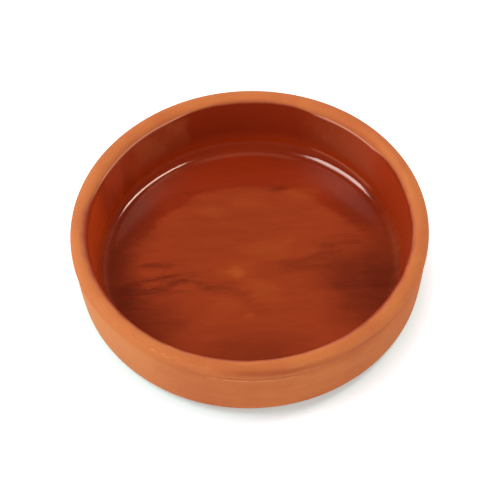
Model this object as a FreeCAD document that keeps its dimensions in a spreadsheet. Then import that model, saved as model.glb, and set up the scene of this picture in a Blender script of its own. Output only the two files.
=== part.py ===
import FreeCAD, Part
import math
import os
import Sketcher

# A low round dish of fired clay, turned in one piece. It stands on Z = 0, with Z as its turning axis.
# Its half-section is one closed sketch of lines and rounds that touch, revolved once.

# Driving dimensions, in millimetres, and one angle in degrees
DIMENSIONS = {
    "rim_diameter": 160.0,  # across the rolled lip, the widest part
    "dish_height": 37.5,  # from the table to the crest of the lip
    "lip_outer_round": 4.0,  # from the widest line of the lip up to its crest
    "lip_inner_round": 3.8,  # from the crest down into the hollow
    "lip_under_round": 1.4,  # from the widest line back under the lip
    "waist_depth": 1.1,  # how far the waist lies inside the widest line
    "waist_round": 1.0,  # the hollow curve of the waist
    "ridge_height": 0.4,  # how far the turned ridge stands out from the waist
    "ridge_round": 0.8,
    "side_bulge": 260.0,  # radius of the slight outward curve of the side
    "foot_round": 8.0,
    "base_inset": 10.0,  # how far the flat base stops inside the widest line
    "floor_thickness": 7.0,
    "corner_round": 6.0,  # where the floor of the hollow runs up into its wall
    "wall_lean": 6.0,  # degrees by which the hollow opens towards the lip
}

# Pieces of the half-section, in order round it from the middle of the base
PIECES = range(12)
BASE, FOOT, SIDE, RIDGE, WAIST, UNDER, OUTER, INNER, WALL, CORNER, FLOOR, AXIS = PIECES

# The sketcher's numbers for a piece's ends and centre, and for its own origin and upright axis
START, END, CENTRE = 1, 2, 3
ORIGIN, UPRIGHT = -1, -2


def make_sheet(document):
    """Puts each driving dimension in a cell of its own, under its own name."""
    sheet = document.addObject("Spreadsheet::Sheet", "Sizes")
    for row, (name, value) in enumerate(DIMENSIONS.items(), start=1):
        sheet.set(f"A{row}", name)
        sheet.set(f"B{row}", str(value))
        sheet.setAlias(f"B{row}", name)
    document.recompute()
    return sheet


def line(start, end):
    """A straight piece between two (across, up) points."""
    return Part.LineSegment(FreeCAD.Vector(*start, 0), FreeCAD.Vector(*end, 0))


def arc(centre, radius, first, last):
    """A round piece, anticlockwise between two angles in radians about an (across, up) centre."""
    circle = Part.Circle(FreeCAD.Vector(*centre, 0), FreeCAD.Vector(0, 0, 1), radius)
    return Part.ArcOfCircle(circle, first, last)


def along(start, distance, angle):
    """The (across, up) point at a distance from another, at an angle in radians."""
    return start[0] + distance * math.cos(angle), start[1] + distance * math.sin(angle)


def direction(start, end):
    """The angle in radians at which one (across, up) point lies from another."""
    return math.atan2(end[1] - start[1], end[0] - start[0])


def first_drawing(sheet):
    """The section's pieces at their places, before the constraints tie them together."""
    lip = sheet.rim_diameter / 2
    widest = sheet.dish_height - sheet.lip_outer_round
    outer = (lip - sheet.lip_outer_round, widest)
    inner = (outer[0], sheet.dish_height - sheet.lip_inner_round)
    under = (lip - sheet.lip_under_round, widest)

    # The waist touches the round under the lip above it, and the ridge below it
    above = sheet.lip_under_round + sheet.waist_round
    turn = math.acos(1 - sheet.waist_depth / above)
    waist = along(under, above, -turn)
    below = sheet.waist_round + sheet.ridge_round
    fall = math.acos(1 - sheet.ridge_height / below)
    ridge = along(waist, below, math.pi + fall)

    # The side bulges a little from the foot to the ridge, and touches both from outside
    foot = (lip - sheet.base_inset, sheet.foot_round)
    to_foot = sheet.side_bulge - sheet.foot_round
    to_ridge = sheet.side_bulge - sheet.ridge_round
    apart = math.dist(foot, ridge)
    swing = math.acos((to_foot**2 + apart**2 - to_ridge**2) / (2 * to_foot * apart))
    side = along(foot, to_foot, direction(foot, ridge) + swing)

    # The hollow's wall leans in from the lip until it touches the corner
    lean = math.radians(sheet.wall_lean)
    mouth = along(inner, sheet.lip_inner_round, math.pi)
    drop = mouth[1] - sheet.floor_thickness - sheet.corner_round
    corner = (
        mouth[0] - sheet.corner_round / math.cos(lean) - drop * math.tan(lean),
        sheet.floor_thickness + sheet.corner_round,
    )
    wall_foot = along(corner, sheet.corner_round, -lean)

    side_foot, side_ridge = direction(side, foot), direction(side, ridge)
    quarter = math.pi / 2
    return [
        line((0, 0), (foot[0], 0)),
        arc(foot, sheet.foot_round, -quarter, side_foot),
        arc(side, sheet.side_bulge, side_foot, side_ridge),
        arc(ridge, sheet.ridge_round, side_ridge, fall),
        arc(waist, sheet.waist_round, math.pi - turn, math.pi + fall),
        arc(under, sheet.lip_under_round, -turn, 0),
        arc(outer, sheet.lip_outer_round, 0, quarter),
        arc(inner, sheet.lip_inner_round, quarter, math.pi),
        line(wall_foot, mouth),
        arc(corner, sheet.corner_round, -quarter, -lean),
        line((0, sheet.floor_thickness), (corner[0], sheet.floor_thickness)),
        line((0, 0), (0, sheet.floor_thickness)),
    ]


def tie(sketch, kind, *what):
    """A constraint without a size, such as two ends that meet."""
    sketch.addConstraint(Sketcher.Constraint(kind, *what))


def size(sketch, name, formula, kind, *what):
    """A named constraint whose size follows the sheet."""
    now = float(sketch.evalExpression(formula))
    if kind == "Angle":
        now = math.radians(now)
    number = sketch.addConstraint(Sketcher.Constraint(kind, *what, now))
    sketch.renameConstraint(number, name)
    sketch.setExpression(f"Constraints.{name}", formula)


def draw_section(body, sheet):
    """The closed half-section of the dish, fully constrained."""
    sketch = body.newObject("Sketcher::SketchObject", "Section")
    plane = next(part for part in body.Origin.OriginFeatures if part.Role == "XZ_Plane")
    sketch.AttachmentSupport = (plane, [""])
    sketch.MapMode = "FlatFace"
    sketch.addGeometry(first_drawing(sheet), False)

    # The base and the foot's round, which the side touches
    tie(sketch, "Coincident", BASE, START, ORIGIN, START)
    tie(sketch, "Horizontal", BASE)
    tie(sketch, "Tangent", BASE, END, FOOT, START)
    tie(sketch, "Tangent", FOOT, END, SIDE, START)
    base = "Sizes.rim_diameter / 2 - Sizes.base_inset"
    size(sketch, "base", base, "DistanceX", ORIGIN, START, BASE, END)
    size(sketch, "foot", "Sizes.foot_round", "Radius", FOOT)
    size(sketch, "side", "Sizes.side_bulge", "Radius", SIDE)

    # The ridge and the waist, each turned into the next
    tie(sketch, "Tangent", SIDE, END, RIDGE, START)
    tie(sketch, "Tangent", RIDGE, END, WAIST, END)
    tie(sketch, "Tangent", WAIST, START, UNDER, START)
    waist = "Sizes.rim_diameter / 2 - Sizes.waist_depth"
    ridge_centre = f"{waist} + Sizes.ridge_height - Sizes.ridge_round"
    waist_centre = f"{waist} + Sizes.waist_round"
    size(sketch, "ridge", "Sizes.ridge_round", "Radius", RIDGE)
    size(sketch, "ridge_centre", ridge_centre, "DistanceX", ORIGIN, START, RIDGE, CENTRE)
    size(sketch, "waist", "Sizes.waist_round", "Radius", WAIST)
    size(sketch, "waist_centre", waist_centre, "DistanceX", ORIGIN, START, WAIST, CENTRE)

    # The lip: three rounds that meet level with its widest line and straight under its crest
    tie(sketch, "Coincident", UNDER, END, OUTER, START)
    tie(sketch, "Horizontal", UNDER, CENTRE, UNDER, END)
    tie(sketch, "Horizontal", OUTER, CENTRE, OUTER, START)
    tie(sketch, "Vertical", OUTER, CENTRE, OUTER, END)
    tie(sketch, "Coincident", OUTER, END, INNER, START)
    tie(sketch, "Vertical", INNER, CENTRE, INNER, START)
    tie(sketch, "Horizontal", INNER, CENTRE, INNER, END)
    size(sketch, "lip", "Sizes.rim_diameter / 2", "DistanceX", ORIGIN, START, OUTER, START)
    size(sketch, "crest", "Sizes.dish_height", "DistanceY", ORIGIN, START, OUTER, END)
    size(sketch, "under", "Sizes.lip_under_round", "Radius", UNDER)
    size(sketch, "outer", "Sizes.lip_outer_round", "Radius", OUTER)
    size(sketch, "inner", "Sizes.lip_inner_round", "Radius", INNER)

    # The hollow: leaning wall, corner and floor
    tie(sketch, "Coincident", INNER, END, WALL, END)
    tie(sketch, "Tangent", WALL, START, CORNER, END)
    tie(sketch, "Tangent", CORNER, START, FLOOR, END)
    tie(sketch, "Horizontal", FLOOR)
    tie(sketch, "PointOnObject", FLOOR, START, UPRIGHT)
    size(sketch, "wall", "90 - Sizes.wall_lean", "Angle", WALL)
    size(sketch, "corner", "Sizes.corner_round", "Radius", CORNER)
    size(sketch, "floor", "Sizes.floor_thickness", "DistanceY", ORIGIN, START, FLOOR, START)

    # The axis closes the outline
    tie(sketch, "Coincident", AXIS, START, BASE, START)
    tie(sketch, "Coincident", AXIS, END, FLOOR, START)
    return sketch


def make_dish(document, sheet):
    """The dish: its half-section turned once round the upright axis."""
    body = document.addObject("PartDesign::Body", "Dish")
    body.Label = "dish"
    section = draw_section(body, sheet)
    turned = body.newObject("PartDesign::Revolution", "Turned")
    turned.Profile = section
    turned.ReferenceAxis = (section, ["V_Axis"])
    turned.Angle = 360
    document.recompute()
    if not section.FullyConstrained:
        raise RuntimeError("the section isn't fully constrained")
    return body


def check(document, bodies):
    """Stops before anything is written if a feature failed or a body isn't one sound solid."""
    for item in document.Objects:
        if "Invalid" in item.State or "Error" in item.State:
            raise RuntimeError(f"{item.Name} failed: {item.State}")
    for body in bodies:
        shape = body.Shape
        if shape.isNull() or not shape.isValid() or len(shape.Solids) != 1:
            raise RuntimeError(f"{body.Label} is not one valid solid")


document = FreeCAD.newDocument("ClayDish")
sheet = make_sheet(document)
bodies = [make_dish(document, sheet)]
check(document, bodies)

os.makedirs("parts", exist_ok=True)
for body in bodies:
    box = body.Shape.optimalBoundingBox()
    sides = f"{box.XLength:.2f} x {box.YLength:.2f} x {box.ZLength:.2f} mm"
    print(f"{body.Label}: {sides}, {body.Shape.Volume / 1000:.1f} cubic centimetres")
    body.Shape.exportStep(os.path.join("parts", f"{body.Label}.step"))
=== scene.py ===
# %% [markdown]
# # A low dish of fired clay
# The dish is turned in one piece from red clay. Its outside and its rolled lip are left bare, and its
# hollow has a clear, glossy glaze. So the whole lesson is one form and two finishes that meet at an
# uneven line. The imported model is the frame: the piece made here has the same section, in metres, and
# adds what a lathe-true solid lacks, which is the unevenness of the hand and of the clay.

# %% Load the frame and keep its box
import math
import random

import bpy
import numpy as np
from mathutils import Matrix, Vector


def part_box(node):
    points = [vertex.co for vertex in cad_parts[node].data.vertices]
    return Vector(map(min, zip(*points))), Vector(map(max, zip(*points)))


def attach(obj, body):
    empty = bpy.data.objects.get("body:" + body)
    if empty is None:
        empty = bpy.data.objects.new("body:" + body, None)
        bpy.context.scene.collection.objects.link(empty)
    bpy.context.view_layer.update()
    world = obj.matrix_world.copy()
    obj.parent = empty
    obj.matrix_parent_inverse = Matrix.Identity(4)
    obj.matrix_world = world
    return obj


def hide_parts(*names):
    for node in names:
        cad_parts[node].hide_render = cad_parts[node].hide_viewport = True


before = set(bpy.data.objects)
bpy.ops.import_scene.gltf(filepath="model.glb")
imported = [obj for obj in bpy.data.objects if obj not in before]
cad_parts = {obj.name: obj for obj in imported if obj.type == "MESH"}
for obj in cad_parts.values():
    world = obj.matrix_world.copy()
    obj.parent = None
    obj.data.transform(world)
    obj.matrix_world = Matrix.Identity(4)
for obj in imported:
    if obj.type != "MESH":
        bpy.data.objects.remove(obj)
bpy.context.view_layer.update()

MM = 0.001
bpy.context.scene.view_settings.view_transform = "Standard"

# %% [markdown]
# ## Camera
# The dish is seen from a little over fifty degrees above the table, from close enough that its far side
# looks narrower than its near side. The view was worked out from the outlines of the lip and the base:
# a camera that looks at the middle of the dish, a long lens, and a slight roll. A camera whose local axes
# are turned by plain angles is the shortest way to write that down.

# %% Place the camera
PICTURE_SIDE = 500  # the photo's width and height, in pixels
AIM = Vector((0.0, 0.0, 19 * MM))
CAMERA_ELEVATION = math.radians(53.07)
CAMERA_ROLL = math.radians(-2.09)
CAMERA_DISTANCE = 0.75  # from the aim, in metres
FOCAL_PIXELS = 1653.7
AIM_ABOVE_MIDDLE = 4.46  # pixels by which the aim lies above the middle of the picture

camera_data = bpy.data.cameras.new("camera")
camera_data.sensor_width = 36.0
camera_data.lens = camera_data.sensor_width * FOCAL_PIXELS / PICTURE_SIDE
camera_data.shift_y = -AIM_ABOVE_MIDDLE / PICTURE_SIDE
camera_data.clip_start = 0.01
camera = bpy.data.objects.new("camera", camera_data)
bpy.context.scene.collection.objects.link(camera)
away = Vector((0.0, -math.cos(CAMERA_ELEVATION), math.sin(CAMERA_ELEVATION)))
tilt = Matrix.Rotation(math.pi / 2 - CAMERA_ELEVATION, 4, "X")
roll = Matrix.Rotation(CAMERA_ROLL, 4, "Z")
camera.matrix_world = Matrix.Translation(AIM + away * CAMERA_DISTANCE) @ tilt @ roll
bpy.context.scene.camera = camera
print(f"camera: {camera_data.lens:.1f} mm lens, {CAMERA_DISTANCE} m from the dish")

# %% [markdown]
# ## Nodes, written short
# A finish is a chain of nodes. These few helpers keep each chain readable: one call makes a node, sets it
# and wires it, and the small ones after it stand for the steps that come up again and again.


# %% Helpers for nodes
def put(tree, kind, wires=None, **settings):
    """Adds a shader node. wires gives its inputs: a socket is linked, anything else is a value."""
    node = tree.nodes.new("ShaderNode" + kind)
    for name, value in settings.items():
        setattr(node, name, value)
    for name, value in (wires or {}).items():
        if isinstance(value, bpy.types.NodeSocket):
            tree.links.new(value, node.inputs[name])
        else:
            node.inputs[name].default_value = value
    return node


def maths(tree, operation, first, second=0.0):
    """One sum on one or two values."""
    return put(tree, "Math", {0: first, 1: second}, operation=operation).outputs[0]


def stretch(tree, value, low, high, to_low=0.0, to_high=1.0, smooth=True):
    """Turns the range low to high into the range to_low to to_high, and holds it there beyond."""
    kind = "SMOOTHSTEP" if smooth else "LINEAR"
    wires = {"Value": value, "From Min": low, "From Max": high, "To Min": to_low, "To Max": to_high}
    return put(tree, "MapRange", wires, interpolation_type=kind).outputs[0]


def blend(tree, amount, first, second):
    """Goes from the first number to the second by an amount from 0 to 1."""
    return put(tree, "Mix", {0: amount, 2: first, 3: second}, data_type="FLOAT").outputs[0]


def tint(tree, amount, first, second):
    """Goes from the first colour to the second by an amount from 0 to 1."""
    return put(tree, "Mix", {0: amount, 6: first, 7: second}, data_type="RGBA").outputs[2]


def how_far(tree, place):
    """How far a place lies from the origin."""
    return put(tree, "VectorMath", {0: place}, operation="LENGTH").outputs["Value"]


def colour(red, green, blue):
    """A colour as it is read off a screen, 0 to 255, turned into the linear values that a node takes."""
    shares = [channel / 255 for channel in (red, green, blue)]
    linear = [share / 12.92 if share <= 0.04045 else ((share + 0.055) / 1.055) ** 2.4 for share in shares]
    return (*linear, 1.0)


def shader_group(name, takes, gives):
    """An empty group with named sockets. Returns it with its input and output nodes."""
    group = bpy.data.node_groups.new(name, "ShaderNodeTree")
    for label, kind, value in takes:
        socket = group.interface.new_socket(label, in_out="INPUT", socket_type=kind)
        if value is not None:
            socket.default_value = value
    for label, kind in gives:
        group.interface.new_socket(label, in_out="OUTPUT", socket_type=kind)
    return group, group.nodes.new("NodeGroupInput"), group.nodes.new("NodeGroupOutput")


# %% [markdown]
# ## Table and light
# The dish stands on a seamless white table. Two soft boxes hang over it, a white one at its left and a
# slightly warm one at its right: they draw the two bright lines in the glazed corner. The rest of the
# light is a white surround that fades with height and is a little brighter on the left. In a real studio a
# dark screen overhead and a dim backdrop keep such a glaze deep instead of milky, so the rays that mirror
# the world see a darker one than the clay does. The paper glows where it is seen, less near the dish,
# which paints a tighter, darker shadow round its foot, and it is painted cool near the dish, which takes
# the dish's orange bounce light out of that shadow. So the background is white and the shadow grey without
# more light on the dish.

# %% Build the table
TABLE_HALF = 3.0
TABLE_DROP = 0.02 * MM  # keeps the table clear of the base
TABLE_WHITE = (0.8, 0.8, 0.8, 1.0)
# The paper near the dish is painted cool, which takes the dish's orange bounce light out of its shadow
SEEN_NEAR = (0.68, 1.0, 1.0, 1.0)  # cool, so that the dish's orange light leaves its shadow grey
SEEN_FAR = (0.78, 0.86, 0.93, 1.0)
NEAR_UP_TO = 75 * MM  # distances from the dish's middle
FAR_FROM = 84 * MM
# The glow is lower near the dish, which paints a tighter, darker shadow round its foot
GLOW_NEAR = 0.275
GLOW_FAR = 0.77
GLOW_RISES_FROM = 73 * MM
GLOW_RISES_TO = 94.5 * MM

corners = [(-TABLE_HALF, -TABLE_HALF), (TABLE_HALF, -TABLE_HALF)]
corners += [(TABLE_HALF, TABLE_HALF), (-TABLE_HALF, TABLE_HALF)]
table_mesh = bpy.data.meshes.new("table")
table_mesh.from_pydata([(x, y, -TABLE_DROP) for x, y in corners], [], [(0, 1, 2, 3)])
table = bpy.data.objects.new("table", table_mesh)
bpy.context.scene.collection.objects.link(table)

white_paper = bpy.data.materials.new("white_paper")
white_paper.use_nodes = True
tree = white_paper.node_tree
tree.nodes.clear()
path = put(tree, "LightPath")
looked_at = maths(tree, "MAXIMUM", path.outputs["Is Camera Ray"], path.outputs["Is Glossy Ray"])
looked_at = maths(tree, "MAXIMUM", looked_at, path.outputs["Is Transmission Ray"])
from_dish = how_far(tree, put(tree, "TexCoord").outputs["Object"])
seen = tint(tree, stretch(tree, from_dish, NEAR_UP_TO, FAR_FROM), SEEN_NEAR, SEEN_FAR)
white = tint(tree, looked_at, TABLE_WHITE, seen)
paper = put(tree, "BsdfDiffuse", {"Color": white})
glow_with_painted_shadow = stretch(tree, from_dish, GLOW_RISES_FROM, GLOW_RISES_TO, GLOW_NEAR, GLOW_FAR)
glow = put(tree, "Emission", {"Strength": maths(tree, "MULTIPLY", looked_at, glow_with_painted_shadow)})
both = put(tree, "AddShader", {0: paper.outputs[0], 1: glow.outputs[0]})
put(tree, "OutputMaterial", {"Surface": both.outputs[0]})
table_mesh.materials.append(white_paper)
print(f"table: {2 * TABLE_HALF:.0f} m square, {TABLE_DROP / MM} mm below the base")

# %% Build the studio round it
SURROUND = 1.50
WHITE_UP_TO = math.sin(math.radians(14))  # height at which the white surround begins to fade
DIM_FROM = math.sin(math.radians(39))
CEILING = 0.10
MIRRORED_UP_TO = math.sin(math.radians(7))  # lower where the glaze mirrors it, as behind a dark screen
MIRRORED_DIM_FROM = math.sin(math.radians(16))
BACKDROP = 0.05  # what the glaze mirrors of the studio's far side
SCREEN = 0.03  # and of the dark screen overhead and in front
BACKDROP_FROM = 0.1  # how far to the back a direction points where the backdrop begins, and where
BACKDROP_FULL = 0.5  # it is whole, as a share of that direction's length
LEFT_SHARE = 0.16  # by how much the surround is brighter at its left end and darker at its right

studio = bpy.data.worlds.new("studio")
studio.use_nodes = True
bpy.context.scene.world = studio
tree = studio.node_tree
tree.nodes.clear()
towards = put(tree, "TexCoord").outputs["Generated"]
way = put(tree, "SeparateXYZ", {0: towards})
height = way.outputs["Z"]
lit = stretch(tree, height, WHITE_UP_TO, DIM_FROM, SURROUND, CEILING)
sideways = stretch(tree, way.outputs["X"], -1, 1, 1 + LEFT_SHARE, 1 - LEFT_SHARE)
lit = maths(tree, "MULTIPLY", lit, sideways)
above = stretch(tree, way.outputs["Y"], BACKDROP_FROM, BACKDROP_FULL, SCREEN, BACKDROP)
low = stretch(tree, height, MIRRORED_UP_TO, MIRRORED_DIM_FROM, 1.0, 0.0)
mirrored = blend(tree, low, above, 1.0)
brightness = blend(tree, put(tree, "LightPath").outputs["Is Glossy Ray"], lit, mirrored)
surround = put(tree, "Background", {"Color": (1.0, 1.0, 1.0, 1.0), "Strength": brightness})
put(tree, "OutputWorld", {"Surface": surround.outputs[0]})
print(f"studio: surround of strength {SURROUND} low down and {CEILING} overhead")

# %% Hang the two soft boxes
BOX_DISTANCE = 1.2
WHITE_LIGHT = (1.0, 1.0, 1.0)
WARM_LIGHT = (1.0, 0.90, 0.79)


def soft_box(name, middle, along, length, width, brightness, light):
    """A lamp that faces the dish. middle is its direction, along the way its long side runs, length
    and width the angles that it fills, in degrees, brightness that of its face and light its colour."""
    facing = Vector(middle).normalized()
    side = Vector(along)
    side = (side - facing * side.dot(facing)).normalized()
    data = bpy.data.lights.new(name, "AREA")
    data.shape = "RECTANGLE"
    data.size = 2 * BOX_DISTANCE * math.tan(math.radians(length) / 2)
    data.size_y = 2 * BOX_DISTANCE * math.tan(math.radians(width) / 2)
    data.energy = brightness * math.pi * data.size * data.size_y
    data.color = light
    lamp = bpy.data.objects.new(name, data)
    turn = Matrix((side, facing.cross(side), facing)).transposed().to_4x4()
    lamp.matrix_world = Matrix.Translation(facing * BOX_DISTANCE) @ turn
    bpy.context.scene.collection.objects.link(lamp)
    print(f"{name}: {data.size:.2f} x {data.size_y:.2f} m, {data.energy:.1f} W")


soft_box(
    "left_box",
    middle=(-0.545, -0.04, 0.838),
    along=(-0.26, 0.33, -0.15),
    length=25,
    width=19,
    brightness=9.0,
    light=WHITE_LIGHT,
)
soft_box(
    "right_box",
    middle=(0.47, 0.135, 0.872),
    along=(0.37, 0.21, -0.23),
    length=27,
    width=9,
    brightness=12.6,
    light=WARM_LIGHT,
)

# %% [markdown]
# ## The section
# A turned form is one outline carried round an axis. The outline here runs from the middle of the base,
# out round the foot, up the side to a fine ridge, in at the waist, over the rolled lip and down into the
# hollow. Rounds that touch each other give it no corners. Each point also keeps the direction that
# points off the clay, because all the unevenness later pushes the surface along that direction.

# %% Sizes of the section
LIP, _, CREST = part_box("dish")[1]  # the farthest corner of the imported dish's box

LIP_OUTER_ROUND = 4.0 * MM
LIP_INNER_ROUND = 3.8 * MM
LIP_UNDER_ROUND = 1.4 * MM
WAIST_DEPTH = 1.1 * MM
WAIST_ROUND = 1.0 * MM
RIDGE_HEIGHT = 0.4 * MM
RIDGE_ROUND = 0.8 * MM
SIDE_BULGE = 260 * MM
FOOT_ROUND = 8.0 * MM
BASE_INSET = 10.0 * MM
FLOOR = 7.0 * MM
CORNER_ROUND = 6.0 * MM
WALL_LEAN = math.radians(6)
BASE_DISC = 0.4  # the share of the flat base's radius that is left to the rings in its middle
FLOOR_DISC = 0.68  # and of the floor's

WIDEST = CREST - LIP_OUTER_ROUND
OUTER = (LIP - LIP_OUTER_ROUND, WIDEST)
INNER = (OUTER[0], CREST - LIP_INNER_ROUND)
MOUTH = (INNER[0] - LIP_INNER_ROUND, INNER[1])
print(f"lip: {2 * LIP / MM:.1f} mm across; mouth of the hollow: {2 * MOUTH[0] / MM:.1f} mm across")


# %% Draw the section
def from_point(start, distance, angle):
    """The (across, up) point at a distance and an angle from another."""
    return start[0] + distance * math.cos(angle), start[1] + distance * math.sin(angle)


def round_stretch(centre, radius, start, end, spacing, hollow=False):
    """Points on a round, each with the direction that points off the clay."""
    steps = max(2, math.ceil(abs(end - start) * radius / spacing))
    angle = np.linspace(start, end, steps + 1)[:-1]
    out = -1.0 if hollow else 1.0
    points = [centre[0] + radius * np.cos(angle), centre[1] + radius * np.sin(angle)]
    return np.column_stack([*points, out * np.cos(angle), out * np.sin(angle)])


def straight_stretch(start, end, spacing):
    """Points on a straight run, without its end."""
    run = np.subtract(end, start)
    length = np.hypot(*run)
    share = np.linspace(0.0, 1.0, max(2, math.ceil(length / spacing)) + 1)[:-1, None]
    off = np.array([run[1], -run[0]]) / length
    return np.hstack([start + share * run, np.repeat([off], len(share), axis=0)])


def draw_section():
    """All points of the outline, from the base to the floor of the hollow."""
    under = (LIP - LIP_UNDER_ROUND, WIDEST)
    turn = math.acos(1 - WAIST_DEPTH / (LIP_UNDER_ROUND + WAIST_ROUND))
    waist = from_point(under, LIP_UNDER_ROUND + WAIST_ROUND, -turn)
    fall = math.acos(1 - RIDGE_HEIGHT / (WAIST_ROUND + RIDGE_ROUND))
    ridge = from_point(waist, WAIST_ROUND + RIDGE_ROUND, math.pi + fall)

    foot = (LIP - BASE_INSET, FOOT_ROUND)
    to_foot = SIDE_BULGE - FOOT_ROUND
    to_ridge = SIDE_BULGE - RIDGE_ROUND
    apart = math.dist(foot, ridge)
    swing = math.acos((to_foot**2 + apart**2 - to_ridge**2) / (2 * to_foot * apart))
    side = from_point(foot, to_foot, math.atan2(ridge[1] - foot[1], ridge[0] - foot[0]) + swing)
    side_start = math.atan2(foot[1] - side[1], foot[0] - side[0])
    side_end = math.atan2(ridge[1] - side[1], ridge[0] - side[0])

    drop = MOUTH[1] - FLOOR - CORNER_ROUND
    inset = CORNER_ROUND / math.cos(WALL_LEAN) + drop * math.tan(WALL_LEAN)
    corner = (MOUTH[0] - inset, FLOOR + CORNER_ROUND)
    quarter = math.pi / 2

    # The last length of each stretch is the spacing of its points, closer where the form turns faster
    return np.vstack([
        straight_stretch((BASE_DISC * foot[0], 0.0), (foot[0], 0.0), 5.0 * MM),
        round_stretch(foot, FOOT_ROUND, -quarter, side_start, 0.9 * MM),
        round_stretch(side, SIDE_BULGE, side_start, side_end, 0.62 * MM),
        round_stretch(ridge, RIDGE_ROUND, side_end, fall, 0.2 * MM),
        round_stretch(waist, WAIST_ROUND, math.pi + fall, math.pi - turn, 0.2 * MM, hollow=True),
        round_stretch(under, LIP_UNDER_ROUND, -turn, 0.0, 0.22 * MM),
        round_stretch(OUTER, LIP_OUTER_ROUND, 0.0, quarter, 0.42 * MM),
        round_stretch(INNER, LIP_INNER_ROUND, quarter, math.pi, 0.22 * MM),
        straight_stretch(MOUTH, from_point(corner, CORNER_ROUND, -WALL_LEAN), 1.4 * MM),
        round_stretch(corner, CORNER_ROUND, -WALL_LEAN, -quarter, 0.33 * MM, hollow=True),
        straight_stretch((corner[0], FLOOR), (FLOOR_DISC * corner[0], FLOOR), 1.3 * MM),
    ]), corner, ridge, waist


section, CORNER, RIDGE, WAIST = draw_section()
print(f"section: {len(section)} points; corner of the hollow at radius {CORNER[0] / MM:.1f} mm")

# %% [markdown]
# ## Unevenness
# A potter's dish is never quite round. The whole form swells and sinks slowly round the dish, and fine
# turning marks run round it: waves with a short pitch whose phase slips by whole turns, as a tool's line
# does when it climbs. Pushing points in mesh code keeps this in the form itself, so that it also shows in
# the outline. These functions give such waves, and the smooth steps and bumps that the marks are made of.

# %% Waves and marks
AROUND = 512
azimuths = np.arange(AROUND) * 2 * math.pi / AROUND
draws = random.Random(11)


def slow_swell(azimuth, depth, slowest, fastest):
    """A gentle wave round the dish, made of whole numbers of swells so that it closes on itself."""
    total = np.zeros_like(azimuth)
    for swells in range(slowest, fastest + 1):
        strength = draws.uniform(0.4, 1.0) / swells
        total += strength * np.cos(swells * azimuth + draws.uniform(0, 2 * math.pi))
    return depth * total


def turning_marks(along, azimuth, depth, finest, coarsest, count):
    """Fine rings round the dish. along is the distance on the section."""
    total = np.zeros(np.broadcast(along, azimuth).shape)
    for _ in range(count):
        pitch = finest * (coarsest / finest) ** draws.random()
        slip = draws.choice([-2, -1, -1, 0, 1, 1, 2])
        total += np.cos(2 * math.pi * along / pitch + slip * azimuth + draws.uniform(0, 2 * math.pi))
    return depth * total / math.sqrt(count)


def ramp(value, start, end):
    """0 before start and 1 after end, smooth between them."""
    share = np.clip((value - start) / (end - start), 0.0, 1.0)
    return share * share * (3 - 2 * share)


def angle_from(azimuth, degrees):
    """How far an azimuth lies from a place given in degrees, the short way round, in degrees."""
    return (np.degrees(azimuth) - degrees + 180) % 360 - 180


def hill(distance, width):
    """A smooth bump that is 1 at its middle and nearly gone at twice its width."""
    return np.exp(-((distance / width) ** 2))


# %% [markdown]
# ## Marks left by hands and tools
# Other marks have a place of their own, read off the real dish: the turned ridge stands out only at the
# front, in dashes, and was wiped away elsewhere; a sponge filled part of the waist; a thumb drew a soft
# groove over the lip; the lip was folded lower at two places, and the corner of the hollow eased flatter.
# Each is a small function of the way round, so the form and the finish can both ask where it is.

# %% Sizes and places of the marks
# A nick, or a crumb where its depth is below zero: its azimuth in degrees, and in mm its radius, height,
# length round the dish, width across it and depth
NICKS = [
    (233, 77.6, 37.2, 1.0, 0.7, 0.25),
    (243, 75.4, 37.4, 1.1, 0.7, 0.30),
    (237, 79.0, 36.1, 1.6, 0.5, -0.14),
    (240, 78.8, 36.4, 2.2, 0.5, 0.22),
    (242, 79.2, 35.9, 1.5, 0.4, -0.12),
    (250, 79.8, 34.8, 1.0, 0.6, 0.30),
    (290, 79.9, 33.1, 0.9, 0.6, 0.35),
    (281, 79.1, 36.1, 3.2, 0.4, 0.12),
    (284, 79.3, 35.6, 4.5, 0.4, -0.10),
]
# The parts of the ridge's line that stand out: first and last azimuth in degrees, and strength
RIDGE_DASHES = [(255.5, 257.8, 0.8), (260.8, 267.5, 1.0), (270.5, 275.0, 0.8), (279.8, 282.2, 0.5)]
# Pale scratches: first and last azimuth in degrees, strength, height and half width in mm
SCRATCHES = [
    (236.8, 237.9, 0.7, 36.35, 0.22),
    (240.4, 241.2, 0.6, 36.40, 0.22),
    (242.0, 243.0, 0.5, 36.10, 0.22),
    (280.0, 285.0, 0.5, 36.00, 0.30),
]
RIDGE_DROP = 1.2 * MM  # how far the tool was lowered, right of the front
RIDGE_LINE = 0.17 * MM  # how far the ridge's raised line stands out
WAIST_FILLED = 0.45 * WAIST_DEPTH  # how far the sponge filled the waist
WAIST_SMOOTHED = 0.40 * MM  # how far the waist was smoothed over at the front and right of it
THUMB_DEPTH = 0.36 * MM
THUMB_HIGH = 35.4 * MM  # where the thumb's groove starts, at its left
THUMB_FALL = 3.4 * MM  # and how much lower it ends
LIP_HANG = 0.6 * MM
LIP_HANG_UP = 32.0 * MM  # the height at which it hangs out most
CORNER_EASED = 0.08 * MM  # how far the corner is filled where it was smoothed flatter
CORNER_EASED_OUT = 66.6 * MM  # at this radius
CORNER_TOP = 11 * MM  # and below this height
GLAZE_EDGE = 0.13 * MM  # how far the glaze's rounded edge stands out
TURNING_OUTSIDE = 0.010 * MM  # depths of the turning marks
TURNING_INSIDE = 0.008 * MM
SWELL_OUTSIDE = 0.10 * MM  # depths of the slow swell
SWELL_INSIDE = 0.16 * MM
print(f"marks: {len(NICKS)} nicks and crumbs, {len(RIDGE_DASHES)} dashes, {len(SCRATCHES)} scratches")


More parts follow.
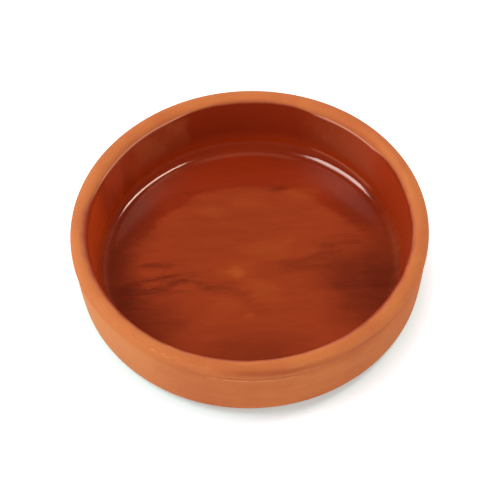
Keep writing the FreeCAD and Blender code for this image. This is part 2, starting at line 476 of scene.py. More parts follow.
# %% Where each mark of the clay lies
def between(azimuth, middle, rise_from, rise_to, fall_from, fall_to):
    """1 along a part of the dish and 0 elsewhere. Its soft ends are in degrees from its middle."""
    away = angle_from(azimuth, middle)
    return ramp(away, rise_from, rise_to) * (1 - ramp(away, fall_from, fall_to))


def tool_drop(azimuth):
    """How much lower the tool ran, right of the front, so that the ridge and the waist lie lower there."""
    return RIDGE_DROP * between(azimuth, 300, -38, -10, 20, 50)


def thumb_groove(azimuth, up):
    """1 in the middle of a thumb's soft groove, which slants down over the lip right of the front."""
    middle = THUMB_HIGH - THUMB_FALL * ramp(angle_from(azimuth, 285), -20, 25)
    return between(azimuth, 285, -30, -16, 30, 55) * hill(up - middle, 1.9 * MM)


def shaded_waist(azimuth, up):
    """1 in the waist under that groove, where the clay is painted darker as painted shade."""
    return between(azimuth, 275, -26, -10, 40, 68) * hill(up - WAIST[1] + tool_drop(azimuth), 0.9 * MM)


def in_dashes(azimuth, dashes):
    """1 within the dashes of a broken line, each given by its two ends in degrees and its strength."""
    total = np.zeros_like(azimuth)
    for start, end, strength in dashes:
        half = (end - start) / 2
        dash = between(azimuth, start + half, -half - 0.7, -half + 0.2, half - 0.2, half + 0.7)
        total = total + strength * dash
    return total


def ridge_left(azimuth):
    """1 where the ridge is left standing, at the front, and 0 where it was wiped away."""
    return between(azimuth, 269, -15, -8, 9, 18)


def waist_filled(azimuth):
    """1 where a wet sponge filled the waist, left of the front, and less than that at the front."""
    left = between(azimuth, 222, -13, -4, 14, 34)
    return np.maximum(left, 0.7 * between(azimuth, 268, -22, -8, 10, 30))


def lip_hangs(azimuth):
    """1 where the lip was folded lower over the side, at the left and the right of the front."""
    return hill(angle_from(azimuth, 199), 10) + hill(angle_from(azimuth, 341), 10)


def corner_eased(azimuth):
    """1 where the corner of the hollow was smoothed flatter, at its right, and a little at its left."""
    return between(azimuth, 50, -24, -10, 10, 24) + 0.2 * between(azimuth, 134, -24, -10, 10, 24)


# %% Where the glaze ends
def glaze_line(azimuth):
    """Where the glaze ends on the lip's inner round, in degrees from the mouth up towards the crest."""
    low_right = between(azimuth, 48, -24, -10, 13, 27)
    low_left = between(azimuth, 135, -36, -12, 12, 38)
    near = between(azimuth, 250, -88, -76, 80, 120)
    higher = 7 * hill(angle_from(azimuth, 192), 20) + 9 * hill(angle_from(azimuth, 308), 12)
    return 25 - 25 * low_right - 20 * low_left + 34 * near + higher


def edge_softness(azimuth):
    """How wide the glaze line blurs: crisp where the glaze is thick and soft where it was wiped."""
    crisp = np.maximum(hill(angle_from(azimuth, 50), 24), hill(angle_from(azimuth, 132), 26))
    soft = np.maximum(hill(angle_from(azimuth, 180), 34), hill(angle_from(azimuth, 5), 26))
    return np.clip(2.8 - 2.4 * crisp + 1.6 * soft, 0.4, 4.4) * MM


def bright_glaze_edge(azimuth):
    """1 where the glaze ends in a larger bead painted with a highlight, at the two places where it ran low.
    """
    return between(azimuth, 137, -28, -18, 14, 30) + between(azimuth, 48, -20, -10, 8, 20)


def past_glaze_line(azimuth, across, up):
    """How far a place on the lip's inner round lies past the end of the glaze, towards the hollow."""
    on_round = np.degrees(np.arctan2(up - INNER[1], INNER[0] - across))
    return np.radians(glaze_line(azimuth) - on_round) * LIP_INNER_ROUND


line_heights = glaze_line(azimuths)
print(f"glaze ends {line_heights.min():.0f} to {line_heights.max():.0f} degrees up the lip's inner round")

# %% [markdown]
# ## Pushing the points
# All of this is added up as one distance for each point, along the direction that points off the clay. The
# ridge and the waist also sink where the tool went lower. The lip may only lose clay, never gain it, so
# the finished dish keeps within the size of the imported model.


# %% How far the marks push the surface
def ridge_and_waist(azimuth, up):
    """The ridge's raised line with the groove below it, left at the front and wiped away elsewhere,
    and the filled and smoothed stretches of the waist."""
    crisp = ridge_left(azimuth)
    line = hill(up - RIDGE[1] - 0.1 * MM, 0.30 * MM) - 0.8 * hill(up - RIDGE[1] + 0.8 * MM, 0.4 * MM)
    push = RIDGE_LINE * crisp * (0.25 + in_dashes(azimuth, RIDGE_DASHES)) * line
    push = push - 0.8 * RIDGE_HEIGHT * (1 - crisp) * hill(up - RIDGE[1], 1.1 * MM)
    push = push + WAIST_FILLED * waist_filled(azimuth) * hill(up - WAIST[1] + 0.6 * MM, 1.6 * MM)
    smoothed = np.maximum(crisp, 0.7 * between(azimuth, 300, -20, -8, 20, 40))
    return push + WAIST_SMOOTHED * smoothed * hill(up - WAIST[1] - 0.1 * MM, 0.8 * MM)


def lip_marks(azimuth, up):
    """The thumb's groove, and the two places where the lip hangs lower."""
    hanging = LIP_HANG * lip_hangs(azimuth) * hill(up - LIP_HANG_UP, 0.8 * MM)
    return hanging - THUMB_DEPTH * thumb_groove(azimuth, up)


def corner_and_glaze(azimuth, across, up):
    """The eased stretches of the hollow's corner, and the rounded edge of the glaze on the lip."""
    eased = hill(across - CORNER_EASED_OUT, 1.2 * MM) * (up < CORNER_TOP)
    bead = GLAZE_EDGE * (0.25 + 0.75 * bright_glaze_edge(azimuth))
    bead = bead * hill(past_glaze_line(azimuth, across, up) - 0.35 * MM, 0.32 * MM)
    return bead + CORNER_EASED * corner_eased(azimuth) * eased


def nicks(azimuth, across, up):
    """How deep the nicks are, and how high the crumbs stand, which counts below zero."""
    total = 0.0
    for degrees, radius, height, length, width, depth in NICKS:
        round_it = angle_from(azimuth, degrees) * math.pi / 180 * radius / length
        across_it = np.hypot(across / MM - radius, up / MM - height) / width
        total = total + depth * MM * hill(np.hypot(round_it, across_it), 1.0)
    return total


# %% Push the points
def shape_points():
    """The dish's points as two grids, radius and height, with one row for each point of the section."""
    across, up, off_across, off_up = np.hsplit(section, 4)
    steps = np.hypot(np.diff(across, axis=0), np.diff(up, axis=0))
    along = np.vstack([[[0.0]], np.cumsum(steps, axis=0)])
    azimuth = azimuths[None, :]
    outside = ramp(off_across, -0.2, 0.5) * ramp(up, 1 * MM, 5 * MM)
    inside = (across < INNER[0]) & (up > 0.5 * FLOOR)
    outward = across > OUTER[0]

    # Where the tool went lower, the ridge and the waist go with it
    reach = ramp(up, 20 * MM, 29 * MM) * (1 - ramp(up, WAIST[1] + 0.4 * MM, WIDEST))
    sink = -tool_drop(azimuth) * reach * (off_across > 0.3) * outward

    push = (ridge_and_waist(azimuth, up) + lip_marks(azimuth, up)) * outward
    push = push + turning_marks(along, azimuth, TURNING_OUTSIDE, 1.2 * MM, 5.0 * MM, 22) * outside
    push = push + turning_marks(along, azimuth, TURNING_INSIDE, 2.5 * MM, 9.0 * MM, 12) * inside
    push = push + slow_swell(azimuth, SWELL_OUTSIDE, 2, 9) * outside
    push = push + corner_and_glaze(azimuth, across, up) * inside
    above_floor = inside * ramp(up, FLOOR + 1 * MM, FLOOR + 8 * MM)
    push = push + slow_swell(azimuth, SWELL_INSIDE, 2, 7) * above_floor
    push = push - nicks(azimuth, across, up)

    # The widest line and the crest may lose clay but not gain it, so the dish stays in its box
    at_lip = ramp(up, WIDEST - 3 * MM, WIDEST) * outside
    push = push - at_lip * np.maximum((push * (up >= WIDEST) * (off_across >= 0)).max(), 0.0)
    radius = across + off_across * push
    level = up + off_up * push + sink
    return np.minimum(radius, LIP), np.clip(level, 0.0, CREST)


radii, levels = shape_points()
print(f"points pushed to radius {radii.max() / MM:.2f} mm and height {levels.max() / MM:.2f} mm")

# %% [markdown]
# ## The mesh
# The rows of points are joined into one skin, and the base and the floor are closed by rings that halve
# their number of points as they shrink, so that no sliver is left in the middle. Four numbers are stored on
# each point for the finishes to read: how far it lies past the glaze line, in widths of that line's blur,
# how much it is painted pale by scratches, rubbing and a painted highlight on the ridge, how much painted
# highlight and painted reflection lie on the glaze, and how much painted shade darkens the clay.

# %% Rings that halve towards the middle
# Rings come in sets of one number of points. The radii of a set are shares of the last radius before it.
SHRINK_MANY = (0.88, 0.76, 0.66, 0.57)  # for a set of more than MANY_POINTS points
SHRINK_FEW = (0.6,)
MANY_POINTS = 40
FEWEST_POINTS = 8


def disc_rings(radius, level, count):
    """(radius, level, number of points) of rings from a rim inwards."""
    rings = []
    while count > FEWEST_POINTS:
        count //= 2
        shares = SHRINK_MANY if count > MANY_POINTS else SHRINK_FEW
        rings += [(radius * share, level, count) for share in shares]
        radius *= shares[-1]
    return rings


def join(faces, first, first_count, second, second_count):
    """Faces between two rings, given by their first point and their number of points."""
    if first_count == second_count:
        for step in range(first_count):
            after = (step + 1) % first_count
            faces.append((first + step, first + after, second + after, second + step))
        return
    for step in range(second_count):
        after = (step + 1) % second_count
        middle = first + 2 * step + 1
        faces.append((first + 2 * step, middle, second + step))
        faces.append((middle, second + after, second + step))
        faces.append((middle, first + (2 * step + 2) % first_count, second + after))


def close_disc(points, faces, rim, rim_count, rings, flip):
    """Adds the rings and the middle point inside a rim that is already there."""
    before, before_count = rim, rim_count
    added = []
    for radius, level, count in rings:
        start = len(points)
        for step in range(count):
            turn = 2 * math.pi * step / count
            points.append((radius * math.cos(turn), radius * math.sin(turn), level))
        join(added, before, before_count, start, count)
        before, before_count = start, count
    points.append((0.0, 0.0, rings[-1][1]))
    for step in range(before_count):
        added.append((before + step, before + (step + 1) % before_count, len(points) - 1))
    faces.extend(tuple(reversed(face)) if flip else face for face in added)


# %% Build the dish
def build_dish():
    """One closed mesh of the whole dish."""
    xs = radii * np.cos(azimuths)
    ys = radii * np.sin(azimuths)
    points = list(zip(xs.ravel().tolist(), ys.ravel().tolist(), levels.ravel().tolist()))
    faces = []
    rows = len(section)
    for row in range(rows - 1):
        join(faces, row * AROUND, AROUND, (row + 1) * AROUND, AROUND)
    base_rings = disc_rings(float(section[0, 0]), 0.0, AROUND)
    close_disc(points, faces, 0, AROUND, base_rings, flip=True)
    floor_rings = disc_rings(float(section[-1, 0]), FLOOR, AROUND)
    close_disc(points, faces, (rows - 1) * AROUND, AROUND, floor_rings, flip=False)
    mesh = bpy.data.meshes.new("clay_dish")
    mesh.from_pydata(points, [], faces)
    mesh.validate()
    mesh.shade_smooth()
    return mesh


dish_mesh = build_dish()
dish = bpy.data.objects.new("clay_dish", dish_mesh)
bpy.context.scene.collection.objects.link(dish)
triangles = sum(len(face.vertices) - 2 for face in dish_mesh.polygons)
print(f"dish: {len(dish_mesh.vertices)} points, {triangles} triangles")

# %% Store the glaze line and the marks
WELL_PAST = 5 * MM  # deep in the hollow all is glaze, and outside it all is clay


def painted_reflection_lines(azimuth, radius, up):
    """Painted reflections along fine rings in the hollow: one on the wall at the right, and three short
    ones round the floor, at its back, left and right."""
    climb = 10.0 * MM + 1.5 * MM * ramp(angle_from(azimuth, 49), -16, 16)
    lines = 0.30 * between(azimuth, 49, -18, -12, 12, 17) * hill(up - climb, 0.5 * MM)
    lines += 0.10 * between(azimuth, 91, -26, -16, 16, 26) * hill(radius - 64.4 * MM, 0.9 * MM)
    sides = between(azimuth, 182, -34, -14, 16, 34) + 0.6 * between(azimuth, 2, -16, -6, 8, 20)
    return lines + 0.06 * sides * hill(radius - 66.8 * MM, 0.7 * MM) * (up < 12 * MM)


def store_places():
    """Writes the four numbers on every point of the mesh."""
    place = np.empty(len(dish_mesh.vertices) * 3)
    dish_mesh.vertices.foreach_get("co", place)
    x, y, z = place.reshape(-1, 3).T
    radius = np.hypot(x, y)
    azimuth = np.arctan2(y, x) % (2 * math.pi)
    hollow = (radius < INNER[0]) & (z > 0.6 * FLOOR)
    outside = radius > OUTER[0]

    past = past_glaze_line(azimuth, radius, z)
    past = np.where(z < INNER[1] - 2 * MM, np.maximum(past, WELL_PAST), past)
    past = np.where(hollow, past, -WELL_PAST)

    # The ridge's dashes are painted pale: a painted highlight on the ridge's lit edge, with rubbed wear.
    # The scratches are pale marks
    line = hill(z - RIDGE[1] + tool_drop(azimuth) - 0.1 * MM, 0.28 * MM) * ridge_left(azimuth)
    rubbed_and_highlit = line * (0.12 + 1.7 * in_dashes(azimuth, RIDGE_DASHES))
    for start, end, strength, up, half_width in SCRATCHES:
        rubbed_and_highlit += in_dashes(azimuth, [(start, end, strength)]) * hill(z - up * MM, half_width * MM)

    # A painted highlight along the glaze's edge where its bead is largest, and painted reflections along
    # fine rings in the hollow
    painted_highlights = 1.3 * hill(past + 0.10 * MM, 0.36 * MM) * bright_glaze_edge(azimuth)
    painted_highlights += painted_reflection_lines(azimuth, radius, z) * hollow
    stored = {
        "past_glaze_line": past / edge_softness(azimuth),
        "rubbed_and_highlit": rubbed_and_highlit * outside,
        "painted_highlights": painted_highlights,
        "groove_shade": np.maximum(thumb_groove(azimuth, z), 0.3 * shaded_waist(azimuth, z)) * outside,
    }
    for name, values in stored.items():
        attribute = dish_mesh.attributes.new(name, "FLOAT", "POINT")
        attribute.data.foreach_set("value", values.astype(np.float32))
        print(f"stored on each point: {name}, from {values.min():.2f} to {values.max():.2f}")


store_places()

# %% [markdown]
# ## Bare clay
# Low-fired red clay is dry, open and a little chalky. Its colour drifts in soft clouds, and its left side
# is painted paler, as painted light from the left. It has paler and darker grains, the turning tool leaves
# faint streaks that run round the form, and small pits show where grains came out, painted darker as
# painted shade. The pale dashes of the ridge are a painted highlight with rubbed wear, and the thumb's
# groove and the waist are painted darker as painted shade. Noise in four dimensions is stretched round the
# axis for the streaks: the first two are the way round, and the last two are height and radius, so the same
# streaks suit the side and the lip.

# %% Streaks that run round the dish
streaks, takes, gives = shader_group(
    "Turned Streaks",
    [
        ("Place", "NodeSocketVector", None),
        ("Pitch", "NodeSocketFloat", 1.0),
        ("Breaks", "NodeSocketFloat", 6.0),
    ],
    [("Streaks", "NodeSocketFloat")],
)
parts = put(streaks, "SeparateXYZ", {0: takes.outputs["Place"]})
flat = put(streaks, "CombineXYZ", {"X": parts.outputs["X"], "Y": parts.outputs["Y"]}).outputs[0]
way_round = put(streaks, "VectorMath", {0: flat}, operation="NORMALIZE").outputs[0]
way_round = put(streaks, "VectorMath", {0: way_round, "Scale": takes.outputs["Breaks"]}, operation="SCALE")
way_round = put(streaks, "SeparateXYZ", {0: way_round.outputs[0]})
pitch = maths(streaks, "MULTIPLY", takes.outputs["Pitch"], MM)
wires = {
    "X": way_round.outputs["X"],
    "Y": way_round.outputs["Y"],
    "Z": maths(streaks, "DIVIDE", parts.outputs["Z"], pitch),
}
place = put(streaks, "CombineXYZ", wires).outputs[0]
outwards = maths(streaks, "DIVIDE", how_far(streaks, flat), pitch)
wires = {"Vector": place, "W": outwards, "Scale": 1.0, "Detail": 3.0}
noise = put(streaks, "TexNoise", wires, noise_dimensions="4D")
streaks.links.new(noise.outputs["Fac"], gives.inputs["Streaks"])
print(f"{streaks.name}: {len(streaks.nodes)} nodes")

# %% Grains and pits
grains, takes, gives = shader_group(
    "Clay Grains",
    [("Place", "NodeSocketVector", None), ("Size", "NodeSocketFloat", 1.0)],
    [("Pale", "NodeSocketFloat"), ("Dark", "NodeSocketFloat"), ("Pits", "NodeSocketFloat")],
)
per_metre = maths(grains, "DIVIDE", 1 / MM, takes.outputs["Size"])
scattered = put(grains, "TexVoronoi", {"Vector": takes.outputs["Place"], "Scale": per_metre})
pick = put(grains, "SeparateColor", {0: scattered.outputs["Color"]})
spot = stretch(grains, scattered.outputs["Distance"], 0.15, 0.55, 1.0, 0.0)
for label, channel, least in (("Pale", "Red", 0.80), ("Dark", "Green", 0.84), ("Pits", "Blue", 0.972)):
    chosen = stretch(grains, pick.outputs[channel], least, least + 0.03)
    grains.links.new(maths(grains, "MULTIPLY", chosen, spot), gives.inputs[label])
print(f"{grains.name}: {len(grains.nodes)} nodes")

# %% The bare clay itself
CLAY = colour(214, 121, 62)
CLAY_PALE = colour(222, 136, 77)
CLAY_DEEP = colour(205, 107, 54)
CLAY_DUST_AND_HIGHLIGHT = colour(236, 156, 104)
CLAY_PAINTED_LIT = colour(231, 161, 99)
CLAY_GROOVE_SHADE = colour(184, 87, 42)
DARK_GRAIN = colour(150, 78, 44)
PIT_SHADE = colour(120, 58, 32)

bare, takes, gives = shader_group(
    "Bare Clay",
    [
        ("Place", "NodeSocketVector", None),
        ("Rubbed And Highlit", "NodeSocketFloat", 0.0),
        ("Groove Shade", "NodeSocketFloat", 0.0),
    ],
    [("Colour", "NodeSocketColor"), ("Roughness", "NodeSocketFloat"), ("Height", "NodeSocketFloat")],
)
where = takes.outputs["Place"]
clouds = put(bare, "TexNoise", {"Vector": where, "Scale": 28.0, "Detail": 4.0, "Roughness": 0.55})
shade = tint(bare, stretch(bare, clouds.outputs["Fac"], 0.35, 0.65), CLAY_DEEP, CLAY)

# The left side below the lip is painted paler: painted light from the left
parts = put(bare, "SeparateXYZ", {0: where})
painted_light_left = stretch(bare, parts.outputs["X"], -15 * MM, -80 * MM, 0.0, 0.5)
painted_light_left = maths(bare, "MULTIPLY", painted_light_left, stretch(bare, parts.outputs["Z"], 30 * MM, 36 * MM, 1.0, 0.15))
shade = tint(bare, painted_light_left, shade, CLAY_PAINTED_LIT)

# %% Its streaks, grains and marks
fine = put(bare, "Group", {"Place": where, "Pitch": 0.9, "Breaks": 5.0}, node_tree=streaks)
broad = put(bare, "Group", {"Place": where, "Pitch": 3.2, "Breaks": 2.5}, node_tree=streaks)
shade = tint(bare, stretch(bare, broad.outputs[0], 0.45, 0.75, 0.0, 0.3), shade, CLAY_PALE)
shade = tint(bare, stretch(bare, fine.outputs[0], 0.5, 0.8, 0.0, 0.14), shade, CLAY_PALE)
shade = tint(bare, stretch(bare, fine.outputs[0], 0.5, 0.25, 0.0, 0.14), shade, CLAY_DEEP)
grit = put(bare, "Group", {"Place": where, "Size": 0.7}, node_tree=grains)
shade = tint(bare, maths(bare, "MULTIPLY", grit.outputs["Pale"], 0.18), shade, CLAY_DUST_AND_HIGHLIGHT)
shade = tint(bare, maths(bare, "MULTIPLY", grit.outputs["Dark"], 0.16), shade, DARK_GRAIN)
# Pits are painted darker: painted shade in them
shade = tint(bare, maths(bare, "MULTIPLY", grit.outputs["Pits"], 0.4), shade, PIT_SHADE)
# Scratches, rubbing and the ridge's painted highlight are painted pale
patchy = stretch(bare, broad.outputs[0], 0.35, 0.6, 0.7, 1.0)
shade = tint(bare, maths(bare, "MULTIPLY", takes.outputs["Rubbed And Highlit"], patchy), shade, CLAY_DUST_AND_HIGHLIGHT)
# The thumb's groove and the waist are painted darker: painted shade
patchy = stretch(bare, broad.outputs[0], 0.3, 0.6, 0.5, 1.0)
shade = tint(bare, maths(bare, "MULTIPLY", takes.outputs["Groove Shade"], patchy), shade, CLAY_GROOVE_SHADE)
bare.links.new(shade, gives.inputs["Colour"])

# %% Its roughness and relief
bare.links.new(stretch(bare, clouds.outputs["Fac"], 0.3, 0.7, 0.93, 1.0), gives.inputs["Roughness"])
powder = put(bare, "TexNoise", {"Vector": where, "Scale": 2200.0, "Detail": 3.0})
height = maths(bare, "MULTIPLY", powder.outputs["Fac"], 0.05)
height = maths(bare, "ADD", height, maths(bare, "MULTIPLY", fine.outputs[0], 0.04))
height = maths(bare, "SUBTRACT", height, maths(bare, "MULTIPLY", grit.outputs["Pits"], 0.10))
bare.links.new(height, gives.inputs["Height"])
print(f"{bare.name}: {len(bare.nodes)} nodes")

# %% [markdown]
# ## Glaze
# The glaze is a thin coat of clear, slightly iron-red glass on the clay. It darkens the clay as water
# does. It was brushed on, so on the floor it lies in soft patches: deeper where it pooled or the brush
# stopped, paler where it ran thin, and drawn out into wisps along the strokes. Patches that are listed
# one by one, each a soft oval bent by the same noise, are the simplest way to paint that without a picture.
# Round the edge of the floor the deeper patches also paint the shade that the wall throws there. On the
# wall the glaze is more even: painted darker at the back and just below the lip, as painted shade, redder
# at the left, as painted light, with two painted reflections behind and a few dark smears at the back left.

# %% Where the glaze is deep and where it is thin
# A patch: its middle, its half length and half width in mm, how it is turned in degrees, and how much
# deeper the glaze is in it, or thinner where that is below zero
POOLS = [
    ((-40, -11), (24, 7.5), 8, 0.36),
    ((-17, -13.5), (14, 4.6), -9, 0.24),
    ((-43, -1.5), (12, 3.6), 0, 0.24),
    ((22, -1), (15, 4.2), 12, 0.16),
    ((43, 9), (17, 6.5), 30, 0.18),
    ((26, -5), (15, 2.4), 3, 0.22),
    ((14, 41), (5, 3.4), 0, 0.40),
    ((-26, 41.5), (11, 2.8), 5, 0.20),
    ((0, -21.5), (12, 6.0), -45, 0.14),
    # The eight patches from here on lie round the edge of the floor: with deeper glaze, they paint the
    # shade that the wall throws there
    ((52, 27), (16, 13), -42, 0.34),
    ((-54, 22), (14, 26), -22, 0.35),
    ((-48, -30), (28, 20), -38, 0.48),
    ((50, -18), (24, 34), 14, 0.63),
    ((-1, -52), (46, 16), 0, 0.34),
    ((62, 0), (12, 26), 0, 0.26),
    ((-62, -6), (14, 24), 0, 0.36),
    ((0, 62), (58, 15), 0, 0.16),
    ((-6.8, -6.1), (4.2, 3.4), 0, -0.45),
    ((-6, -5), (13, 8), 0, -0.16),
    ((6, -16.5), (14, 8), -25, -0.26),
    ((-11, -24), (13, 7), 0, -0.16),
    ((11, 7), (17, 9), 10, -0.22),
    ((-19.5, 30), (12, 4.2), -14, -0.22),
    ((24.5, 38.5), (12, 5.4), -5, -0.22),
    ((1, 33), (14, 5.4), 0, -0.16),
    ((-1, -30), (4, 2.6), 0, -0.26),
    ((36, -22), (14, 7), 0, -0.12),
]
NARROW = 8  # a pool with less half width than this was drawn out into fine wisps by the brush
print(f"glaze on the floor: {len(POOLS)} patches")


def oval(tree, place, middle, reach, turned):
    """How much a place lies in a soft oval on the floor: 1 in its middle and 0 at its edge."""
    wires = {
        "Vector": place,
        "Location": (middle[0] * MM, middle[1] * MM, 0.0),
        "Rotation": (0.0, 0.0, math.radians(turned)),
        "Scale": (reach[0] * MM, reach[1] * MM, 1.0),
    }
    from_middle = how_far(tree, put(tree, "Mapping", wires, vector_type="TEXTURE").outputs[0])
    return stretch(tree, from_middle, 1.15, 0.15)


# %% The glaze's colours
GLAZE = colour(175, 67, 30)
GLAZE_THIN = colour(204, 101, 39)
GLAZE_DEEP_AND_SHADE = colour(90, 24, 10)
WALL_GLAZE = colour(178, 57, 12)
SHADE_AND_SMEAR_GLAZE = colour(150, 42, 4)
FAR_GLAZE = colour(152, 34, 2)
WALL_REFLECTION = colour(184, 90, 50)
WALL_LIT_RED = colour(211, 75, 13)

glaze, takes, gives = shader_group(
    "Brushed Glaze",
    [("Place", "NodeSocketVector", None)],
    [("Colour", "NodeSocketColor"), ("Roughness", "NodeSocketFloat"), ("Height", "NodeSocketFloat")],
)
where = takes.outputs["Place"]
parts = put(glaze, "SeparateXYZ", {0: where})

# %% The brushed floor
drift = put(glaze, "Mapping", {"Vector": where, "Scale": (55.0, 150.0, 60.0)}).outputs[0]
drift = put(glaze, "TexNoise", {"Vector": drift, "Scale": 1.0, "Detail": 5.0, "Roughness": 0.62})
drift = put(glaze, "VectorMath", {0: drift.outputs["Color"], 1: (0.5, 0.5, 0.5)}, operation="SUBTRACT")
wires = {0: drift.outputs[0], 1: (18 * MM, 8 * MM, 0.0)}
drift = put(glaze, "VectorMath", wires, operation="MULTIPLY")
bent = put(glaze, "VectorMath", {0: where, 1: drift.outputs[0]}, operation="ADD").outputs[0]

strokes = put(glaze, "Mapping", {"Vector": bent, "Scale": (60.0, 380.0, 60.0)}).outputs[0]
strokes = put(glaze, "TexNoise", {"Vector": strokes, "Scale": 1.0, "Detail": 4.0, "Roughness": 0.65})
wisps = stretch(glaze, strokes.outputs["Fac"], 0.36, 0.62, 0.1, 1.55)
pooled_and_shaded = stretch(glaze, strokes.outputs["Fac"], 0.30, 0.70, -0.05, 0.09)
for middle, reach, turned, deeper in POOLS:
    mask = oval(glaze, bent, middle, reach, turned)
    if reach[1] < NARROW < reach[0] and deeper > 0:
        mask = maths(glaze, "MULTIPLY", mask, wisps)
    pooled_and_shaded = maths(glaze, "ADD", pooled_and_shaded, maths(glaze, "MULTIPLY", mask, deeper))

# Along the back of the floor, next to the wall, the glaze is painted redder and darker
to_back = stretch(glaze, parts.outputs["Y"], 4 * MM, 30 * MM, 0.0, 0.6)
back_band = stretch(glaze, oval(glaze, bent, (0, -8), (63, 58.5), 0), 0.22, 0.15)
back_band = maths(glaze, "MULTIPLY", back_band, to_back)
shade = tint(glaze, back_band, GLAZE, FAR_GLAZE)
# Deeper glaze, and painted shade round the floor's edge, darken the colour
shade = tint(glaze, stretch(glaze, pooled_and_shaded, 0.0, 1.0, smooth=False), shade, GLAZE_DEEP_AND_SHADE)
shade = tint(glaze, stretch(glaze, pooled_and_shaded, 0.0, -1.0, smooth=False), shade, GLAZE_THIN)
print(f"{glaze.name}, the floor: {len(glaze.nodes)} nodes")

# %% The wall of the hollow
# The back wall is painted darker: painted shade
back_wall_shade = stretch(glaze, parts.outputs["Y"], 40 * MM, 62 * MM)
back_wall_shade = maths(glaze, "MULTIPLY", back_wall_shade, stretch(glaze, parts.outputs["Z"], 11 * MM, 19 * MM))
wall_shade = tint(glaze, back_wall_shade, WALL_GLAZE, SHADE_AND_SMEAR_GLAZE)

# The two painted reflections behind, left and right, with blotched edges
blotches = put(glaze, "TexNoise", {"Vector": where, "Scale": 70.0, "Detail": 3.0}).outputs["Fac"]
runs = maths(glaze, "ADD", parts.outputs["X"], stretch(glaze, blotches, 0.3, 0.7, -2.5 * MM, 2.5 * MM))
reflection_left = stretch(glaze, runs, -27 * MM, -30 * MM)
reflection_left = maths(glaze, "MULTIPLY", reflection_left, stretch(glaze, runs, -60 * MM, -42 * MM))
reflection_right = stretch(glaze, runs, 24 * MM, 34 * MM)
reflection_right = maths(glaze, "MULTIPLY", reflection_right, stretch(glaze, runs, 66 * MM, 50 * MM))
painted_reflection = maths(glaze, "ADD", reflection_left, maths(glaze, "MULTIPLY", reflection_right, 0.7))
painted_reflection = maths(glaze, "MULTIPLY", painted_reflection, stretch(glaze, parts.outputs["Y"], 24 * MM, 40 * MM))
painted_reflection = maths(glaze, "MULTIPLY", painted_reflection, stretch(glaze, parts.outputs["Z"], 12 * MM, 20 * MM))
painted_reflection = maths(glaze, "MULTIPLY", painted_reflection, stretch(glaze, blotches, 0.35, 0.6, 0.25, 0.6))

# The dark smears, and painted light that makes the left wall redder and brighter
smears = put(glaze, "Mapping", {"Vector": where, "Scale": (95.0, 95.0, 38.0)}).outputs[0]
smears = put(glaze, "TexNoise", {"Vector": smears, "Scale": 1.0, "Detail": 2.0}).outputs["Fac"]
smears = stretch(glaze, smears, 0.46, 0.62, 0.0, 0.6)
smears = maths(glaze, "MULTIPLY", smears, stretch(glaze, parts.outputs["X"], -30 * MM, -44 * MM))
smears = maths(glaze, "MULTIPLY", smears, stretch(glaze, parts.outputs["Y"], 14 * MM, 34 * MM))
left_wall_lit = stretch(glaze, parts.outputs["X"], -45 * MM, -66 * MM, 0.0, 0.8)
left_wall_lit = maths(glaze, "MULTIPLY", left_wall_lit, stretch(glaze, parts.outputs["Y"], 34 * MM, 12 * MM))

wall_shade = tint(glaze, left_wall_lit, wall_shade, WALL_LIT_RED)
wall_shade = tint(glaze, smears, wall_shade, SHADE_AND_SMEAR_GLAZE)
wall_shade = tint(glaze, painted_reflection, wall_shade, WALL_REFLECTION)
# Just below the lip the wall is painted darker: painted shade under the lip
under_lip_shade = stretch(glaze, parts.outputs["Z"], 31 * MM, 34 * MM, 0.0, 0.7)
wall_shade = tint(glaze, under_lip_shade, wall_shade, SHADE_AND_SMEAR_GLAZE)
wall = stretch(glaze, parts.outputs["Z"], FLOOR + 0.5 * MM, FLOOR + 7 * MM)
shade = tint(glaze, wall, shade, wall_shade)
print(f"{glaze.name}, with the wall: {len(glaze.nodes)} nodes")
glaze.links.new(shade, gives.inputs["Colour"])

# %% The glaze's gloss and relief
# The finger that smoothed the corner left it glossier than the floor and the wall
CORNER_GLOSS = 0.11
FLOOR_GLOSS = 0.18
WALL_GLOSS = 0.38

flat = put(glaze, "CombineXYZ", {"X": parts.outputs["X"], "Y": parts.outputs["Y"]}).outputs[0]
inwards = how_far(glaze, flat)
on_floor = stretch(glaze, inwards, CORNER[0] - 2 * MM, CORNER[0] - 9 * MM, CORNER_GLOSS, FLOOR_GLOSS)
on_wall = stretch(glaze, parts.outputs["Z"], FLOOR + 4 * MM, FLOOR + 7 * MM, CORNER_GLOSS, WALL_GLOSS)
glaze.links.new(maths(glaze, "MAXIMUM", on_floor, on_wall), gives.inputs["Roughness"])
ripple = put(glaze, "TexNoise", {"Vector": where, "Scale": 130.0, "Detail": 3.0})
glaze.links.new(maths(glaze, "MULTIPLY", ripple.outputs["Fac"], 0.05), gives.inputs["Height"])
print(f"{glaze.name}: {len(glaze.nodes)} nodes")

# %% [markdown]
# ## One material for both
# The two finishes meet at a line that a brush or a dip left on the inner side of the lip, so they share
# one material. A mask turns bare clay into glaze over the width of the line's blur, which runs from about
# half a millimetre where the glaze is thick to over four where it was wiped. The mask reads the distance
# stored on the mesh and lets a little noise eat into it, so that the line creeps as the real one does.

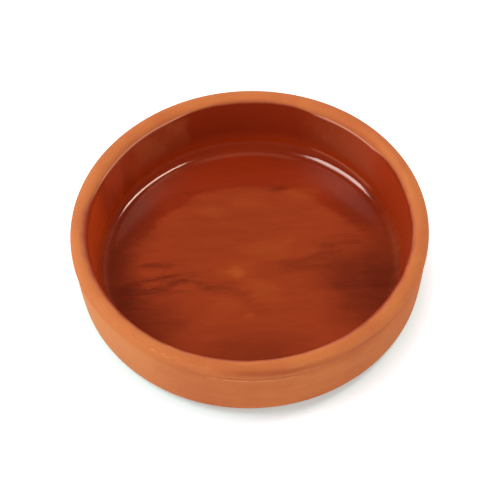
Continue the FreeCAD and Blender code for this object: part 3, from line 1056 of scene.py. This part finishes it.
# %% Put the material together
HIGHLIGHT_PAINT = colour(244, 170, 136)
HIGHLIGHT_PAINT_SHARE = 0.9
GLAZE_IOR = 1.65
GLINT = (1.0, 0.84, 0.76, 1.0)  # tints what the surface mirrors where it is seen straight on

fired_clay = bpy.data.materials.new("fired_clay")
fired_clay.use_nodes = True
tree = fired_clay.node_tree
tree.nodes.clear()
where = put(tree, "TexCoord").outputs["Object"]
past = put(tree, "Attribute", attribute_name="past_glaze_line").outputs["Fac"]
rubbed_and_highlit = put(tree, "Attribute", attribute_name="rubbed_and_highlit").outputs["Fac"]
creep = put(tree, "TexNoise", {"Vector": where, "Scale": 110.0, "Detail": 2.0}).outputs["Fac"]
past = maths(tree, "ADD", past, stretch(tree, creep, 0.25, 0.75, -0.14, 0.14))
glazed = stretch(tree, past, -0.5, 0.5)

groove_shade = put(tree, "Attribute", attribute_name="groove_shade").outputs["Fac"]
clay = put(tree, "Group", {"Place": where, "Rubbed And Highlit": rubbed_and_highlit, "Groove Shade": groove_shade}, node_tree=bare)
coat = put(tree, "Group", {"Place": where}, node_tree=glaze)
base_colour = tint(tree, glazed, clay.outputs["Colour"], coat.outputs["Colour"])
painted_highlights = put(tree, "Attribute", attribute_name="painted_highlights").outputs["Fac"]
# The painted highlights and painted reflections are mixed over the glaze
base_colour = tint(tree, maths(tree, "MULTIPLY", painted_highlights, HIGHLIGHT_PAINT_SHARE), base_colour, HIGHLIGHT_PAINT)
roughness = blend(tree, glazed, clay.outputs["Roughness"], coat.outputs["Roughness"])
height = blend(tree, glazed, clay.outputs["Height"], coat.outputs["Height"])
relief = put(tree, "Bump", {"Height": height, "Distance": MM, "Strength": 1.0})
wires = {
    "Base Color": base_colour,
    "Roughness": roughness,
    "IOR": GLAZE_IOR,
    "Specular Tint": GLINT,
    "Normal": relief.outputs[0],
}
surface = put(tree, "BsdfPrincipled", wires)
put(tree, "OutputMaterial", {"Surface": surface.outputs[0]})
dish_mesh.materials.append(fired_clay)
print(f"{fired_clay.name}: {len(tree.nodes)} nodes and two finishes")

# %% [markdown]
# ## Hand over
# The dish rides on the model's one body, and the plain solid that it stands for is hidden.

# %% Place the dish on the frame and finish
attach(dish, "root")
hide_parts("dish")
